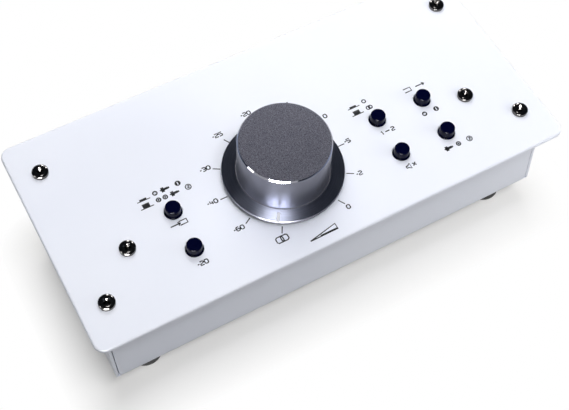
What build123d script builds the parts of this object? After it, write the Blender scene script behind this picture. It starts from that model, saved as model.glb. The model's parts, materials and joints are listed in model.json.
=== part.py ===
from build123d import *
import os
from math import cos, radians, sin

# A desktop monitor controller: a folded steel case on four rubber feet, closed by a sloping
# steel top plate that overhangs it all round.  The plate carries a large level knob and six
# push-buttons; the audio connectors stand in a row along the back.
#
# Millimetres.  +X is to the right, the front faces -Y and +Z is up.  The origin is the centre
# of the footprint, on the surface that the feet stand on.

# ---- top plate -------------------------------------------------------------------------------
plate_width = 210.0
plate_depth = 98.6
plate_thickness = 2.0
plate_corner_radius = 4.6
plate_top_round = 0.9
plate_under_bevel = 0.4
plate_slope = 7.0               # degrees, front edge low

# ---- case ------------------------------------------------------------------------------------
side_overhang = 5.0             # plate edge to side wall
end_overhang = 9.3              # plate edge to front or rear wall, along the plate
wall = 1.2                      # folded sheet
bend_radius = 1.6               # outside of a fold
front_wall_height = 38.6
side_flange_width = 12.7        # turned in under the plate, carries the plate screws
lip_width = 7.0                 # turned in along the front and the back
flange_end_gap = 0.8
seam_gap = 0.35                 # open corner between two folded walls
relief_radius = 0.7             # drilled at the foot of each open corner

# ---- screws, nuts and spacers (M3) -----------------------------------------------------------
thread_radius = 1.5
thread_clearance = 0.05
pass_hole_radius = 1.7
pan_head_radius = 3.3
pan_head_height = 2.0
plate_screw_length = 8.0
board_screw_length = 6.0
pillar_screw_length = 4.0       # one from above and one from below
foot_screw_length = 10.0
connector_screw_length = 6.0
screw_tip_gap = 0.5
nut_across_flats = 5.5
nut_height = 3.0
spacer_across_flats = 5.0

corner_screw_inset_x = 11.35
corner_screw_inset_y = 17.35
middle_screw_x = 77.5
middle_screw_y = -14.95

# ---- feet ------------------------------------------------------------------------------------
foot_height = 9.6
foot_top_radius = 8.0
foot_bottom_radius = 6.55
foot_recess_radius = 4.2
foot_recess_depth = 4.6
foot_bevel = 0.5
foot_x = 84.15
foot_from_wall = 10.3

# ---- level control ---------------------------------------------------------------------------
knob_x = -8.3                   # on the plate, from its centre
knob_y = -12.0
knob_gap = 1.3                  # skirt to plate
knob_height = 21.7              # top face, above the plate
knob_top_bevel = 0.6
barrel_top_radius = 18.5
barrel_foot_radius = 18.8
barrel_foot_height = 3.1
skirt_radius = 24.65
skirt_inner_radius = 19.1
skirt_inner_height = 2.85
skirt_outer_height = 2.6
rim_bevel = 0.3
rim_groove_depth = 0.25
rim_groove_half_width = 0.15
skirt_wall = 2.2
underside_depth = 0.3
hub_gap = 0.7                   # hub to bushing, and cavity to nut
pointer_width = 1.3
pointer_length = 3.8
pointer_depth = 0.45
pointer_at_rest = 236.3         # degrees from +X on the plate: fully turned down
grub_length = 6.0
grub_height = 11.0
shaft_radius = 3.0
shaft_top_gap = 0.5
running_clearance = 0.05
bushing_radius = 4.5
bushing_height = 4.5
bushing_hole_clearance = 0.15
pot_width = 24.0
pot_round = 2.0
pot_floor = 1.6
washer_radius = 7.0
washer_thickness = 0.5
pot_nut_across_flats = 12.0
pot_nut_height = 2.2

# ---- push-buttons ----------------------------------------------------------------------------
button_columns = {"left": -55.0, "centre": 38.4, "right": 60.4}
upper_row_y = -8.15
lower_row_y = -26.7
buttons = [
    ("input", "left", upper_row_y),
    ("dim", "left", lower_row_y),
    ("select", "centre", upper_row_y),
    ("mute", "centre", lower_row_y),
    ("output_a", "right", upper_row_y),
    ("output_b", "right", lower_row_y),
]
button_travel = 3.0
cap_radius = 3.1
cap_skirt_radius = 3.5
cap_skirt_below_face = 0.3
cap_height = 3.8                # above the plate, button out
cap_bevel = 0.35
cap_wall = 3.3                  # solid head above the plunger
cap_hole_clearance = 0.25
plunger_width = 3.0
plunger_fit = 0.05
plunger_slot_clearance = 0.15
switch_width = 8.5
switch_round = 0.6
switch_floor = 0.8
switch_gap = 0.3                # left under a pressed cap

# ---- circuit boards --------------------------------------------------------------------------
board_thickness = 1.6
board_corner_radius = 1.5
control_board_drop = 15.0       # plate underside to board
control_board_half_width = 84.0
control_board_wall_gap = 2.8    # to the front wall
control_board_back = 8.0
main_board_lift = 6.0           # case floor to board
main_board_edge_gap = 3.0
main_board_front = -6.0
pillar_row_y = 1.0
outer_pillar_inset = 11.0       # from the board's end
middle_pillar_x = -8.5
middle_pillar_y = 20.0

# ---- ribbon cable between the boards ---------------------------------------------------------
header_length = 30.0
header_width = 6.0
header_height = 7.0
ribbon_width = 25.4
ribbon_thickness = 0.9
ribbon_bend = 2.6
ribbon_end_gap = 0.1            # below the tilted header
ribbon_x = 22.0
control_header_y = -27.0
main_header_y = 6.0

# ---- rear connectors -------------------------------------------------------------------------
flange_width = 26.0
flange_height = 31.0
flange_thickness = 2.0
flange_round = 3.0
flange_bevel = 0.4
flange_gap = 2.0
shell_radius = 11.8
panel_clearance = 0.2
shell_block_width = 25.0
shell_block_start = 0.6         # behind the wall's inner face
shell_depth = 26.0
connector_height = 15.0         # centre above the main board
flange_screw_x = 9.5
flange_screw_z = 12.0
plug_shell_outer = 9.6          # ring that a cable connector's shell enters
plug_shell_inner = 7.7
plug_shell_depth = 14.0
contact_circle = 5.9
contact_hole_radius = 1.5
contact_angles = (45, 135, 270)
jack_bore_radius = 3.25         # takes a 6.35 mm plug
jack_bore_depth = 24.0
key_width = 2.4                 # notch that turns a cable connector the right way round
key_depth = 1.4
latch_width = 6.0
latch_thickness = 1.3
latch_clearance = 0.15
latch_reach = 8.0
latch_travel = 1.2
latch_stop_gap = 0.3
latch_pad_width = 8.0
latch_pad_height = 4.6
latch_pad_thickness = 1.6
cup_radius = 9.5
cup_depth = 15.0
insert_thickness = 2.0          # moulded disc that holds the pins
insert_clearance = 0.05
contact_radius = 1.2
contact_length = 12.0           # that stands in the cup
contact_bevel = 0.4

trs_body = 16.0
trs_depth = 27.0
trs_bushing_radius = 4.7
trs_bushing_reach = 5.0
bushing_bevel = 0.35
trs_nut_across_flats = 12.0
trs_nut_height = 2.4
trs_washer_radius = 7.0
trs_washer_thickness = 0.6
aux_width = 11.5
aux_height = 10.0
aux_depth = 14.0
aux_bore_radius = 1.8           # takes a 3.5 mm plug
aux_bore_depth = 13.0
aux_bushing_radius = 2.95
aux_bushing_reach = 3.4
aux_nut_radius = 4.0
aux_nut_height = 1.6
jack_gap = 2.0
rca_width = 14.0
rca_depth = 12.0
rca_lower_height = 7.0          # above the main board
rca_pitch = 18.0
rca_head = 7.0                  # housing above the upper centre
rca_round = 2.5
rca_collar_radius = 5.2
rca_shell_radius = 4.15
rca_shell_wall = 0.5
rca_shell_reach = 8.3
rca_insulator_setback = 0.9
rca_bore_radius = 1.6
rca_bore_depth = 12.0

# ---- derived planes and places ---------------------------------------------------------------
slope_sin = sin(radians(plate_slope))
slope_cos = cos(radians(plate_slope))
wall_on_plate = plate_depth / 2 - end_overhang
case_half_width = plate_width / 2 - side_overhang
plate_centre_y = -plate_thickness * slope_sin / 2
plate_centre_z = foot_height + front_wall_height + wall_on_plate * slope_sin + plate_thickness * slope_cos
case_front_y = plate_centre_y - wall_on_plate * slope_cos + plate_thickness * slope_sin
case_rear_y = plate_centre_y + wall_on_plate * slope_cos + plate_thickness * slope_sin
case_front_top = foot_height + front_wall_height
case_rear_top = case_front_top + 2 * wall_on_plate * slope_sin
case_floor = foot_height + wall
main_board_top = case_floor + main_board_lift + board_thickness
connector_z = main_board_top + connector_height

plate_top = Plane(
    origin=(0, plate_centre_y, plate_centre_z),
    x_dir=(1, 0, 0),
    z_dir=(0, -slope_sin, slope_cos),
)
plate_under = plate_top.offset(-plate_thickness)
control_board_plane = plate_under.offset(-control_board_drop)
rear_face = Plane(origin=(0, case_rear_y, 0), x_dir=(1, 0, 0), z_dir=(0, -1, 0))
rear_inner = rear_face.offset(wall)
flange_face = rear_face.offset(-flange_thickness)

knob_centre = plate_top.from_local_coords(Vector(knob_x, knob_y, 0))
knob_axis = Axis(knob_centre, plate_top.z_dir)
knob_section = Plane(origin=knob_centre, x_dir=(1, 0, 0), z_dir=(-plate_top.y_dir))
knob_plane = Plane(origin=knob_centre, x_dir=(1, 0, 0), z_dir=plate_top.z_dir)

corner_screw_points = [
    (side * (plate_width / 2 - corner_screw_inset_x), end * (plate_depth / 2 - corner_screw_inset_y))
    for side in (-1, 1)
    for end in (-1, 1)
]
middle_screw_points = [(-middle_screw_x, middle_screw_y), (middle_screw_x, middle_screw_y)]
foot_points = [
    (side * foot_x, y)
    for side in (-1, 1)
    for y in (case_front_y + foot_from_wall, case_rear_y - foot_from_wall)
]
control_board_front = -(wall_on_plate - wall - control_board_wall_gap)
main_board_half_width = case_half_width - wall - main_board_edge_gap
outer_pillar_x = main_board_half_width - outer_pillar_inset
pillar_points = [
    (-outer_pillar_x, pillar_row_y),
    (middle_pillar_x, pillar_row_y),
    (outer_pillar_x, pillar_row_y),
    (middle_pillar_x, middle_pillar_y),
]

# The connectors are set out from both side walls towards the middle.
flange_pitch = flange_width + flange_gap
outer_connector_x = case_half_width - wall - flange_gap - flange_width / 2
inner_connector_x = outer_connector_x - flange_pitch
inner_flange_edge = inner_connector_x - flange_width / 2
combo_places = {"left": -outer_connector_x, "right": -inner_connector_x}
xlr_places = {"left": inner_connector_x, "right": outer_connector_x}
rca_x = -(inner_flange_edge - jack_gap - rca_width / 2)
aux_in_x = rca_x + rca_width / 2 + jack_gap + aux_width / 2
trs_places = {
    "left": inner_flange_edge - 2 * jack_gap - 1.5 * trs_body,
    "right": inner_flange_edge - jack_gap - trs_body / 2,
}
aux_out_x = trs_places["left"] - trs_body / 2 - jack_gap - aux_width / 2
aux_places = {"input": aux_in_x, "output": aux_out_x}
trs_z = main_board_top + trs_body / 2
aux_z = main_board_top + aux_height / 2
rca_lower_z = main_board_top + rca_lower_height
rca_heights = (rca_lower_z, rca_lower_z + rca_pitch)
all_flange_x = list(combo_places.values()) + list(xlr_places.values())
flange_screw_points = [
    (x + side * flange_screw_x, connector_z - side * flange_screw_z)
    for x in all_flange_x
    for side in (-1, 1)
]

os.makedirs("parts", exist_ok=True)


def keep(piece, name):
    """Label a finished piece and write it as one STEP file."""
    piece.part.label = name
    export_step(piece.part, f"parts/{name}.step")


def pan_screws(seat, points, length):
    """Pan-head M3 screws whose heads stand on the seat plane."""
    with BuildPart() as screws:
        with BuildSketch(seat):
            with Locations(*points):
                Circle(pan_head_radius)
        extrude(amount=pan_head_height)
        with BuildSketch(seat):
            with Locations(*points):
                Circle(thread_radius)
        extrude(amount=-length)
    return screws


def rings(seat, points, radius, height, bore_radius):
    """Round nuts that stand on the seat plane."""
    with BuildPart() as group:
        with BuildSketch(seat):
            with Locations(*points):
                Circle(radius)
                Circle(bore_radius, mode=Mode.SUBTRACT)
        extrude(amount=height)
    return group


def hexagons(seat, points, across_flats, height, bore_radius):
    """Hexagon nuts or spacers that stand on the seat plane."""
    with BuildPart() as group:
        with BuildSketch(seat):
            with Locations(*points):
                RegularPolygon(across_flats / 2, 6, major_radius=False)
                Circle(bore_radius, mode=Mode.SUBTRACT)
        extrude(amount=height)
    return group


# ---- top plate: cut from sheet, edges rounded, bored for the controls and its screws -----------
with BuildPart() as top_plate:
    with BuildSketch(plate_under):
        RectangleRounded(plate_width, plate_depth, plate_corner_radius)
    extrude(amount=plate_thickness)
    plate_faces = top_plate.faces().sort_by(Axis(plate_under.origin, plate_under.z_dir))
    fillet(plate_faces[-1].edges(), radius=plate_top_round)
    plate_faces = top_plate.faces().sort_by(Axis(plate_under.origin, plate_under.z_dir))
    chamfer(plate_faces[0].edges(), length=plate_under_bevel)
    with BuildSketch(plate_top):
        with Locations(*corner_screw_points, *middle_screw_points):
            Circle(pass_hole_radius)
        with Locations((knob_x, knob_y)):
            Circle(bushing_radius + bushing_hole_clearance)
        with Locations(*[(button_columns[column], y) for _, column, y in buttons]):
            Circle(cap_skirt_radius + cap_hole_clearance)
    extrude(amount=-plate_thickness, mode=Mode.SUBTRACT)
keep(top_plate, "top_plate")

# ---- case: one folded sheet, open at the corners and pierced along the back --------------------
with BuildPart() as case_tray:
    with BuildSketch(Plane.YZ):
        with BuildLine():
            Polyline(
                (case_front_y, foot_height),
                (case_rear_y, foot_height),
                (case_rear_y, case_rear_top),
                (case_front_y, case_front_top),
                close=True,
            )
        make_face()
    extrude(amount=case_half_width, both=True)
    fillet(case_tray.faces().sort_by(Axis.Z)[0].edges(), radius=bend_radius)
    offset(amount=-wall, openings=case_tray.faces().sort_by(Axis.Z)[-1])
    # flanges along the sides and lips along the front and the back, under the plate
    flange_reach = 2 * (wall_on_plate - wall - flange_end_gap)
    lip_length = 2 * (case_half_width - side_flange_width - flange_end_gap)
    with BuildSketch(plate_under):
        with Locations(
            (-case_half_width + side_flange_width / 2, 0),
            (case_half_width - side_flange_width / 2, 0),
        ):
            Rectangle(side_flange_width, flange_reach)
        with Locations(
            (0, -wall_on_plate + wall / 2 + lip_width / 2),
            (0, wall_on_plate - wall / 2 - lip_width / 2),
        ):
            Rectangle(lip_length, lip_width)
    extrude(amount=-wall)
    with BuildSketch(plate_under):
        with Locations(*corner_screw_points):
            Circle(pass_hole_radius)
    extrude(amount=-wall, mode=Mode.SUBTRACT)
    # open corners, with a drilled relief at the foot of each
    seam_x = case_half_width - wall - seam_gap / 2
    seam_foot = foot_height + bend_radius
    seam_height = case_rear_top - seam_foot
    for outer_face in (Plane.XZ.offset(-case_front_y), Plane.XZ.offset(-case_rear_y + wall)):
        with BuildSketch(outer_face):
            with Locations((-seam_x, seam_foot + seam_height / 2), (seam_x, seam_foot + seam_height / 2)):
                Rectangle(seam_gap, seam_height)
            with Locations((-seam_x, seam_foot), (seam_x, seam_foot)):
                Circle(relief_radius)
        extrude(amount=-wall, mode=Mode.SUBTRACT)
    # floor: feet and pillars
    with BuildSketch(Plane.XY.offset(foot_height)):
        with Locations(*foot_points, *pillar_points):
            Circle(pass_hole_radius)
    extrude(amount=wall, mode=Mode.SUBTRACT)
    # back: connectors and their screws
    with BuildSketch(rear_face):
        with Locations(*[(x, connector_z) for x in all_flange_x]):
            Circle(shell_radius + panel_clearance)
        with Locations(*flange_screw_points):
            Circle(thread_radius + thread_clearance)
        with Locations(*[(x, trs_z) for x in trs_places.values()]):
            Circle(trs_bushing_radius + panel_clearance)
        with Locations(*[(x, aux_z) for x in aux_places.values()]):
            Circle(aux_bushing_radius + panel_clearance)
        with Locations(*[(rca_x, z) for z in rca_heights]):
            Circle(rca_collar_radius + panel_clearance)
    extrude(amount=wall, mode=Mode.SUBTRACT)
keep(case_tray, "case_tray")

# ---- plate screws and the nuts clinched into the case ------------------------------------------
plate_screws = pan_screws(plate_top, corner_screw_points + middle_screw_points, plate_screw_length)
keep(plate_screws, "plate_screws")

thread_bore = thread_radius + thread_clearance
flange_under = plate_under.offset(-wall)
with BuildPart() as clinch_nuts:
    add(hexagons(flange_under, corner_screw_points, nut_across_flats, -nut_height, thread_bore).part)
    add(hexagons(Plane.XY.offset(case_floor), foot_points, nut_across_flats, nut_height, thread_bore).part)
keep(clinch_nuts, "clinch_nuts")

# ---- rubber feet: tapered, each screwed up through a recess ------------------------------------
foot_seat = Plane.XY.offset(foot_recess_depth)
with BuildPart() as rubber_feet:
    with Locations(*[(x, y, 0) for x, y in foot_points]):
        Cone(
            bottom_radius=foot_bottom_radius,
            top_radius=foot_top_radius,
            height=foot_height,
            align=(Align.CENTER, Align.CENTER, Align.MIN),
        )
    chamfer(rubber_feet.edges().group_by(Axis.Z)[0], length=foot_bevel)
    with BuildSketch(Plane.XY):
        with Locations(*foot_points):
            Circle(foot_recess_radius)
    extrude(amount=foot_recess_depth, mode=Mode.SUBTRACT)
    with BuildSketch(foot_seat):
        with Locations(*foot_points):
            Circle(pass_hole_radius)
    extrude(amount=foot_height - foot_recess_depth, mode=Mode.SUBTRACT)
keep(rubber_feet, "rubber_feet")

foot_seat_down = Plane(origin=foot_seat.origin, x_dir=(1, 0, 0), z_dir=(0, 0, -1))
foot_screws = pan_screws(foot_seat_down, [(x, -y) for x, y in foot_points], foot_screw_length)
keep(foot_screws, "foot_screws")

# ---- control board, hung from the plate on two spacers -----------------------------------------
hanging_spacers = hexagons(
    plate_under, middle_screw_points, spacer_across_flats, -control_board_drop, thread_bore
)
keep(hanging_spacers, "hanging_spacers")

with BuildPart() as control_board:
    with BuildSketch(control_board_plane):
        with Locations((0, (control_board_front + control_board_back) / 2)):
            board_length = control_board_back - control_board_front
            RectangleRounded(2 * control_board_half_width, board_length, board_corner_radius)
        with Locations(*middle_screw_points):
            Circle(pass_hole_radius, mode=Mode.SUBTRACT)
    extrude(amount=-board_thickness)
keep(control_board, "control_board")

# ---- main board, on four pillars above the case floor ------------------------------------------
pillars = hexagons(
    Plane.XY.offset(case_floor), pillar_points, spacer_across_flats, main_board_lift, thread_bore
)
keep(pillars, "main_board_pillars")

main_board_back = case_rear_y - wall - shell_block_start
with BuildPart() as main_board:
    with BuildSketch(Plane.XY.offset(main_board_top - board_thickness)):
        with Locations((0, (main_board_front + main_board_back) / 2)):
            board_length = main_board_back - main_board_front
            RectangleRounded(2 * main_board_half_width, board_length, board_corner_radius)
        with Locations(*pillar_points):
            Circle(pass_hole_radius, mode=Mode.SUBTRACT)
    extrude(amount=board_thickness)
keep(main_board, "main_board")

control_board_under = control_board_plane.offset(-board_thickness)
hung_seat = Plane(origin=control_board_under.origin, x_dir=(1, 0, 0), z_dir=-control_board_under.z_dir)
with BuildPart() as board_screws:
    add(pan_screws(hung_seat, [(x, -y) for x, y in middle_screw_points], board_screw_length).part)
    add(pan_screws(Plane.XY.offset(main_board_top), pillar_points, pillar_screw_length).part)
keep(board_screws, "board_screws")

floor_seat = Plane(origin=(0, 0, foot_height), x_dir=(1, 0, 0), z_dir=(0, 0, -1))
pillar_screws = pan_screws(floor_seat, [(x, -y) for x, y in pillar_points], pillar_screw_length)
keep(pillar_screws, "pillar_screws")

# ---- volume potentiometer ----------------------------------------------------------------------
shaft_bore = shaft_radius + running_clearance
pot_cavity = control_board_drop - pot_floor
with BuildPart() as pot_body:
    with BuildSketch(plate_under):
        with Locations((knob_x, knob_y)):
            RectangleRounded(pot_width, pot_width, pot_round)
            Circle(shaft_bore, mode=Mode.SUBTRACT)
    extrude(amount=-pot_cavity)
    with BuildSketch(plate_under.offset(-pot_cavity)):
        with Locations((knob_x, knob_y)):
            RectangleRounded(pot_width, pot_width, pot_round)
    extrude(amount=-pot_floor)
keep(pot_body, "pot_body")

with BuildPart() as pot_bushing:
    with BuildSketch(plate_under):
        with Locations((knob_x, knob_y)):
            Circle(bushing_radius)
            Circle(shaft_bore, mode=Mode.SUBTRACT)
    extrude(amount=plate_thickness + bushing_height)
keep(pot_bushing, "pot_bushing")

nut_bore = bushing_radius + thread_clearance
pot_washer = rings(plate_top, [(knob_x, knob_y)], washer_radius, washer_thickness, nut_bore)
keep(pot_washer, "pot_washer")
pot_nut = hexagons(
    plate_top.offset(washer_thickness), [(knob_x, knob_y)], pot_nut_across_flats, pot_nut_height, nut_bore
)
keep(pot_nut, "pot_nut")

shaft_tip = knob_height - knob_top_bevel - 2 * shaft_top_gap - skirt_wall
with BuildPart() as pot_shaft:
    with BuildSketch(plate_under.offset(-pot_cavity + shaft_top_gap)):
        with Locations((knob_x, knob_y)):
            Circle(shaft_radius)
    extrude(amount=plate_thickness + pot_cavity - shaft_top_gap + shaft_tip)
keep(pot_shaft, "pot_shaft")

# ---- level knob: turned from bar, with a flared skirt, a grooved rim and an engraved pointer ----
nut_corner_radius = pot_nut_across_flats / 2 / cos(radians(30))
cavity_radius = max(nut_corner_radius, washer_radius) + hub_gap
hub_bottom = bushing_height + hub_gap
rim_middle = (knob_gap + skirt_outer_height - rim_bevel) / 2
with BuildPart() as level_knob:
    with BuildSketch(knob_section):
        with BuildLine():
            Polyline(
                (0, shaft_tip + shaft_top_gap),
                (0, knob_height),
                (barrel_top_radius - knob_top_bevel, knob_height),
                (barrel_top_radius, knob_height - knob_top_bevel),
                (barrel_foot_radius, barrel_foot_height),
                (skirt_inner_radius, skirt_inner_height),
                (skirt_radius - rim_bevel, skirt_outer_height),
                (skirt_radius, skirt_outer_height - rim_bevel),
                (skirt_radius, rim_middle + rim_groove_half_width),
                (skirt_radius - rim_groove_depth, rim_middle),
                (skirt_radius, rim_middle - rim_groove_half_width),
                (skirt_radius, knob_gap),
                (skirt_radius - skirt_wall, knob_gap),
                (skirt_radius - skirt_wall, knob_gap + underside_depth),
                (cavity_radius, knob_gap + underside_depth),
                (cavity_radius, hub_bottom),
                (shaft_bore, hub_bottom),
                (shaft_bore, shaft_tip + shaft_top_gap),
                close=True,
            )
        make_face()
    revolve(axis=knob_axis)
    # pointer: a groove along the cone of the skirt, open at the rim
    skirt_fall = Vector(
        skirt_radius - rim_bevel - skirt_inner_radius, 0, skirt_outer_height - skirt_inner_height
    )
    pointer_frame = Plane(origin=(0, 0, 0), x_dir=skirt_fall, z_dir=Vector(0, 1, 0).cross(-skirt_fall))
    rim_point = Vector(skirt_radius - rim_bevel, 0, skirt_outer_height)
    pointer_turn = Rotation(0, 0, pointer_at_rest)
    pointer_local = Plane(pointer_turn * Location((rim_point.X, 0, rim_point.Z)) * pointer_frame.location)
    pointer_plane = Plane(knob_plane.location * pointer_local.location)
    with BuildSketch(pointer_plane):
        with Locations((-pointer_length / 2 + pointer_width, 0)):
            SlotOverall(pointer_length + 2 * pointer_width, pointer_width)
    extrude(amount=-pointer_depth, mode=Mode.SUBTRACT)
    # grub screw hole, opposite the pointer
    grub_turn = Rotation(0, 0, pointer_at_rest + 180)
    grub_plane = Plane(knob_plane.location * grub_turn * Location((0, 0, grub_height)))
    grub_section = Plane(origin=grub_plane.origin, x_dir=grub_plane.z_dir, z_dir=grub_plane.x_dir)
    with BuildSketch(grub_section):
        Circle(thread_bore)
    extrude(amount=skirt_radius, mode=Mode.SUBTRACT)
keep(level_knob, "level_knob")

with BuildPart() as knob_grub_screw:
    with BuildSketch(grub_section.offset(shaft_radius)):
        Circle(thread_radius)
    extrude(amount=grub_length)
keep(knob_grub_screw, "knob_grub_screw")

# ---- push-buttons: a cap on the plunger of a latching switch that stands on the control board --
cap_bottom = -plate_thickness - control_board_drop / 2 + button_travel
switch_top = cap_bottom - button_travel - switch_gap
board_face = -plate_thickness - control_board_drop
plunger_top = cap_height - cap_wall
plunger_bottom = board_face + switch_floor + button_travel + switch_gap
for name, column, row_y in buttons:
    place = (button_columns[column], row_y)

    with BuildPart() as switch_body:
        with BuildSketch(control_board_plane):
            with Locations(place):
                RectangleRounded(switch_width, switch_width, switch_round)
        extrude(amount=switch_top - board_face)
        with BuildSketch(plate_top.offset(switch_top)):
            with Locations(place):
                slot_width = plunger_width + 2 * plunger_slot_clearance
                Rectangle(slot_width, slot_width)
        extrude(amount=board_face + switch_floor - switch_top, mode=Mode.SUBTRACT)
    keep(switch_body, f"{name}_switch_body")

    with BuildPart() as plunger:
        with BuildSketch(plate_top.offset(plunger_bottom)):
            with Locations(place):
                Rectangle(plunger_width, plunger_width)
        extrude(amount=plunger_top - plunger_bottom)
    keep(plunger, f"{name}_switch_plunger")

    with BuildPart() as cap:
        with BuildSketch(plate_top.offset(cap_bottom)):
            with Locations(place):
                Circle(cap_skirt_radius)
        extrude(amount=-cap_skirt_below_face - cap_bottom)
        with BuildSketch(plate_top.offset(-cap_skirt_below_face)):
            with Locations(place):
                Circle(cap_radius)
        extrude(amount=cap_height + cap_skirt_below_face)
        crown = cap.faces().sort_by(Axis(plate_top.origin, plate_top.z_dir))[-1]
        chamfer(crown.edges(), length=cap_bevel)
        with BuildSketch(plate_top.offset(cap_bottom)):
            with Locations(place):
                socket_width = plunger_width + 2 * plunger_fit
                Rectangle(socket_width, socket_width)
        extrude(amount=plunger_top - cap_bottom, mode=Mode.SUBTRACT)
    keep(cap, f"{name}_button_cap")

# ---- combined microphone and jack sockets, each with a release latch ---------------------------
shell_block_height = 2 * connector_height
latch_middle = plug_shell_outer + latch_clearance + latch_thickness / 2
latch_slot_top = latch_middle + latch_thickness / 2 + latch_clearance
latch_slot_bottom = plug_shell_inner
latch_lift = latch_travel + latch_stop_gap
for side, x in combo_places.items():
    with BuildPart() as combo_jack:
        with BuildSketch(rear_face):
            with Locations((x, connector_z)):
                RectangleRounded(flange_width, flange_height, flange_round)
        extrude(amount=-flange_thickness)
        chamfer(combo_jack.faces().sort_by(Axis.Y)[-1].edges(), length=flange_bevel)
        with BuildSketch(rear_face):
            with Locations((x, connector_z)):
                Circle(shell_radius)
        extrude(amount=wall + shell_block_start)
        with BuildSketch(rear_inner.offset(shell_block_start)):
            with Locations((x, connector_z)):
                Rectangle(shell_block_width, shell_block_height)
        extrude(amount=shell_depth - wall - shell_block_start)
        with BuildSketch(flange_face):
            with Locations((x, connector_z)):
                Circle(plug_shell_outer)
                Circle(plug_shell_inner, mode=Mode.SUBTRACT)
            with Locations((x, connector_z + (latch_slot_top + plug_shell_outer) / 2)):
                Rectangle(latch_width + 2 * latch_clearance, latch_slot_top - latch_slot_bottom)
            with Locations((x, connector_z)):
                Circle(plug_shell_inner, mode=Mode.SUBTRACT)
                for angle in contact_angles:
                    with PolarLocations(contact_circle, 1, start_angle=angle):
                        Circle(contact_hole_radius)
            with Locations((x, connector_z + plug_shell_inner)):
                Rectangle(key_width, 2 * key_depth)
        extrude(amount=plug_shell_depth, mode=Mode.SUBTRACT)
        with BuildSketch(flange_face):
            with Locations((x, connector_z)):
                Circle(jack_bore_radius)
        extrude(amount=jack_bore_depth, mode=Mode.SUBTRACT)
        with BuildSketch(flange_face):
            with Locations(*[point for point in flange_screw_points if abs(point[0] - x) < flange_width / 2]):
                Circle(pass_hole_radius)
        extrude(amount=connector_screw_length + screw_tip_gap, mode=Mode.SUBTRACT)
    keep(combo_jack, f"combo_jack_{side}")

    with BuildPart() as combo_latch:
        with BuildSketch(flange_face.offset(-latch_lift)):
            with Locations((x, connector_z + latch_middle)):
                Rectangle(latch_width, latch_thickness)
        extrude(amount=latch_lift + latch_reach)
        with BuildSketch(flange_face.offset(-latch_lift)):
            with Locations((x, connector_z + latch_middle - latch_thickness / 2 + latch_pad_height / 2)):
                RectangleRounded(latch_pad_width, latch_pad_height, latch_pad_thickness / 2)
        extrude(amount=-latch_pad_thickness)
    keep(combo_latch, f"combo_latch_{side}")

# ---- three-pin output plugs: a shell with a deep cup, an insert in its floor, and the pins -----
for side, x in xlr_places.items():
    with BuildPart() as xlr_output:
        with BuildSketch(rear_face):
            with Locations((x, connector_z)):
                RectangleRounded(flange_width, flange_height, flange_round)
        extrude(amount=-flange_thickness)
        chamfer(xlr_output.faces().sort_by(Axis.Y)[-1].edges(), length=flange_bevel)
        with BuildSketch(rear_face):
            with Locations((x, connector_z)):
                Circle(shell_radius)
        extrude(amount=wall + shell_block_start)
        with BuildSketch(rear_inner.offset(shell_block_start)):
            with Locations((x, connector_z)):
                Rectangle(shell_block_width, shell_block_height)
        extrude(amount=shell_depth - wall - shell_block_start)
        with BuildSketch(flange_face):
            with Locations((x, connector_z)):
                Circle(cup_radius)
        extrude(amount=cup_depth + insert_thickness, mode=Mode.SUBTRACT)
        with BuildSketch(flange_face):
            with Locations(*[point for point in flange_screw_points if abs(point[0] - x) < flange_width / 2]):
                Circle(pass_hole_radius)
        extrude(amount=connector_screw_length + screw_tip_gap, mode=Mode.SUBTRACT)
    keep(xlr_output, f"xlr_output_{side}")

with BuildPart() as xlr_inserts:
    with BuildSketch(flange_face.offset(cup_depth)):
        for x in xlr_places.values():
            with Locations((x, connector_z)):
                Circle(cup_radius - insert_clearance)
                for angle in contact_angles:
                    with PolarLocations(contact_circle, 1, start_angle=angle):
                        Circle(contact_radius + insert_clearance, mode=Mode.SUBTRACT)
    extrude(amount=insert_thickness)
keep(xlr_inserts, "xlr_inserts")

with BuildPart() as xlr_output_pins:
    with BuildSketch(flange_face.offset(cup_depth + insert_thickness)):
        for x in xlr_places.values():
            with Locations((x, connector_z)):
                for angle in contact_angles:
                    with PolarLocations(contact_circle, 1, start_angle=angle):
                        Circle(contact_radius)
    extrude(amount=-insert_thickness - contact_length)
    chamfer(xlr_output_pins.edges().group_by(Axis.Y)[-1], length=contact_bevel)
keep(xlr_output_pins, "xlr_output_pins")

flange_seat = Plane(origin=flange_face.origin, x_dir=(1, 0, 0), z_dir=(0, 1, 0))
connector_screws = pan_screws(flange_seat, [(x, -z) for x, z in flange_screw_points], connector_screw_length)
keep(connector_screws, "connector_screws")

# ---- jack outputs ------------------------------------------------------------------------------
for side, x in trs_places.items():
    with BuildPart() as trs_output:
        with BuildSketch(rear_inner):
            with Locations((x, trs_z)):
                Rectangle(trs_body, trs_body)
        extrude(amount=trs_depth)
        with BuildSketch(rear_inner):
            with Locations((x, trs_z)):
                Circle(trs_bushing_radius)
        extrude(amount=-wall - trs_bushing_reach)
        chamfer(trs_output.faces().sort_by(Axis.Y)[-1].edges(), length=bushing_bevel)
        with BuildSketch(rear_face.offset(-trs_bushing_reach)):
            with Locations((x, trs_z)):
                Circle(jack_bore_radius)
        extrude(amount=trs_bushing_reach + jack_bore_depth, mode=Mode.SUBTRACT)
    keep(trs_output, f"trs_output_{side}")

trs_points = [(x, trs_z) for x in trs_places.values()]
trs_thread = trs_bushing_radius + thread_clearance
trs_washers = rings(rear_face, trs_points, trs_washer_radius, -trs_washer_thickness, trs_thread)
keep(trs_washers, "trs_washers")
trs_nuts = hexagons(
    rear_face.offset(-trs_washer_thickness), trs_points, trs_nut_across_flats, -trs_nut_height, trs_thread
)
keep(trs_nuts, "trs_nuts")

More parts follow.
